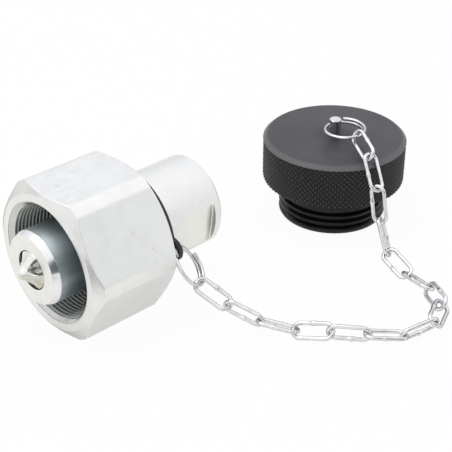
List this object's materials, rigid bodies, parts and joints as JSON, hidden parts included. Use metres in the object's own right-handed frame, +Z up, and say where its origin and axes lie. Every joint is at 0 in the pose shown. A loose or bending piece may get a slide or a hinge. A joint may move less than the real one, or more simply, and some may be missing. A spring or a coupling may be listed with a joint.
{
  "type": "coupling plug",
  "caption": "Male half of a screw-to-connect hydraulic coupling: hexagon nut, probe with a spring-shut poppet and threaded rear port, with a chained dust plug beside it.",
  "frame": {"origin": "on the coupling's axis in the plane of the nut's mouth", "axes": "+X along the axis towards the rear port, +Z up with the nut lying on one flat"},
  "size_m": [0.1693, 0.1231, 0.052],
  "materials": {
    "zinc": "satin",
    "poppet_steel": "polished",
    "spring_steel": "satin",
    "strap_rubber": "matt",
    "seal_rubber": "matt",
    "chain_steel": "bright",
    "cap_metal": "dark anodised satin"
  },
  "bodies": {
    "body": {"plug_body": "zinc", "nut_retaining_ring": "spring_steel", "spring_guide": "zinc", "guide_snap_ring": "spring_steel", "valve_spring": "spring_steel"},
    "nut": {"coupling_nut": "zinc"},
    "poppet": {"valve_poppet": "poppet_steel", "poppet_seal": "seal_rubber"},
    "strap": {"lanyard_strap": "strap_rubber"},
    "ring": {"body_split_ring": "chain_steel"},
    "link_01": {"chain_link_01": "chain_steel"},
    "link_02": {"chain_link_02": "chain_steel"},
    "link_03": {"chain_link_03": "chain_steel"},
    "link_04": {"chain_link_04": "chain_steel"},
    "link_05": {"chain_link_05": "chain_steel"},
    "link_06": {"chain_link_06": "chain_steel"},
    "link_07": {"chain_link_07": "chain_steel"},
    "link_08": {"chain_link_08": "chain_steel"},
    "link_09": {"chain_link_09": "chain_steel"},
    "link_10": {"chain_link_10": "chain_steel"},
    "link_11": {"chain_link_11": "chain_steel"},
    "link_12": {"chain_link_12": "chain_steel"},
    "link_13": {"chain_link_13": "chain_steel"},
    "link_14": {"chain_link_14": "chain_steel"},
    "link_15": {"chain_link_15": "chain_steel"},
    "cap_ring": {"cap_split_ring": "chain_steel"},
    "cap": {"dust_plug": "cap_metal", "cap_stud": "zinc"}
  },
  "joints": [
    {"name": "nut_turn", "type": "hinge", "parent": "body", "child": "nut", "pos_m": [0.02, 0, 0], "axis": [1, 0, 0], "continuous": true},
    {"name": "poppet_stroke", "type": "slide", "parent": "body", "child": "poppet", "axis": [1, 0, 0], "range_m": [0, 0.0065], "stiffness_N_per_m": 2000, "springref_m": -0.004, "deforming": ["valve_spring"]},
    {"name": "strap_turn", "type": "hinge", "parent": "body", "child": "strap", "pos_m": [0.0369, 0, 0], "axis": [1, 0, 0], "continuous": true},
    {"name": "ring_swing", "type": "hinge", "parent": "strap", "child": "ring", "pos_m": [0.03705, -0.02281, -0.00116], "axis": [-0.6755, -0.7282, -0.1158], "range_deg": [-4, 4]},
    {"name": "swing_01", "type": "hinge", "parent": "ring", "child": "link_01", "pos_m": [0.0414, -0.03048, -0.01259], "axis": [0.8601, 0.4144, -0.2974], "range_deg": [-5, 10]},
    {"name": "swing_02", "type": "hinge", "parent": "link_01", "child": "link_02", "pos_m": [0.046, -0.04033, -0.01875], "axis": [0.8937, 0.1529, 0.4217], "range_deg": [-5, 10]},
    {"name": "swing_03", "type": "hinge", "parent": "link_02", "child": "link_03", "pos_m": [0.0512, -0.05097, -0.02248], "axis": [0.084, 0.3796, -0.9213], "range_deg": [-5, 10]},
    {"name": "swing_04", "type": "hinge", "parent": "link_03", "child": "link_04", "pos_m": [0.05783, -0.0614, -0.02381], "axis": [0.7867, 0.5357, -0.3068], "range_deg": [-5, 10]},
    {"name": "swing_05", "type": "hinge", "parent": "link_04", "child": "link_05", "pos_m": [0.06359, -0.07213, -0.02123], "axis": [0.6163, 0.4703, 0.6316], "range_deg": [-5, 10]},
    {"name": "swing_06", "type": "hinge", "parent": "link_05", "child": "link_06", "pos_m": [0.07144, -0.08176, -0.02129], "axis": [0.1139, 0.0804, -0.9902], "range_deg": [-5, 10]},
    {"name": "swing_07", "type": "hinge", "parent": "link_06", "child": "link_07", "pos_m": [0.08138, -0.08911, -0.02269], "axis": [0.5913, 0.7945, -0.1384], "range_deg": [-5, 10]},
    {"name": "swing_08", "type": "hinge", "parent": "link_07", "child": "link_08", "pos_m": [0.09329, -0.09242, -0.02099], "axis": [0.2128, 0.3097, -0.9267], "range_deg": [-5, 10]},
    {"name": "swing_09", "type": "hinge", "parent": "link_08", "child": "link_09", "pos_m": [0.10442, -0.08645, -0.02196], "axis": [-0.3034, 0.7283, 0.6144], "range_deg": [-5, 10]},
    {"name": "swing_10", "type": "hinge", "parent": "link_09", "child": "link_10", "pos_m": [0.11013, -0.0753, -0.02308], "axis": [-0.5229, 0.2114, -0.8258], "range_deg": [-5, 10]},
    {"name": "swing_11", "type": "hinge", "parent": "link_10", "child": "link_11", "pos_m": [0.11245, -0.06312, -0.02407], "axis": [-0.8558, 0.2206, 0.4679], "range_deg": [-5, 10]},
    {"name": "swing_12", "type": "hinge", "parent": "link_11", "child": "link_12", "pos_m": [0.11542, -0.05133, -0.02143], "axis": [-0.8076, 0.3041, -0.5053], "range_deg": [-5, 10]},
    {"name": "swing_13", "type": "hinge", "parent": "link_12", "child": "link_13", "pos_m": [0.11814, -0.04472, -0.01099], "axis": [-0.8483, -0.2926, 0.4413], "range_deg": [-5, 10]},
    {"name": "swing_14", "type": "hinge", "parent": "link_13", "child": "link_14", "pos_m": [0.11885, -0.04185, 0.00112], "axis": [-0.216, 0.9479, -0.2341], "range_deg": [-5, 3]},
    {"name": "swing_15", "type": "hinge", "parent": "link_14", "child": "link_15", "pos_m": [0.12252, -0.03408, 0.0102], "axis": [-0.9583, 0.2194, 0.1829], "range_deg": [-8, 1]},
    {"name": "cap_ring_swing", "type": "hinge", "parent": "link_15", "child": "cap_ring", "pos_m": [0.1275, -0.02287, 0.0129], "axis": [-0.3674, 0.4042, -0.8377], "range_deg": [-10, 1]},
    {"name": "cap_swing", "type": "hinge", "parent": "cap_ring", "child": "cap", "pos_m": [0.13047, -0.00987, 0.01176], "axis": [-0.9468, 0.3205, 0.0288], "range_deg": [-12, 0]}
  ]
}
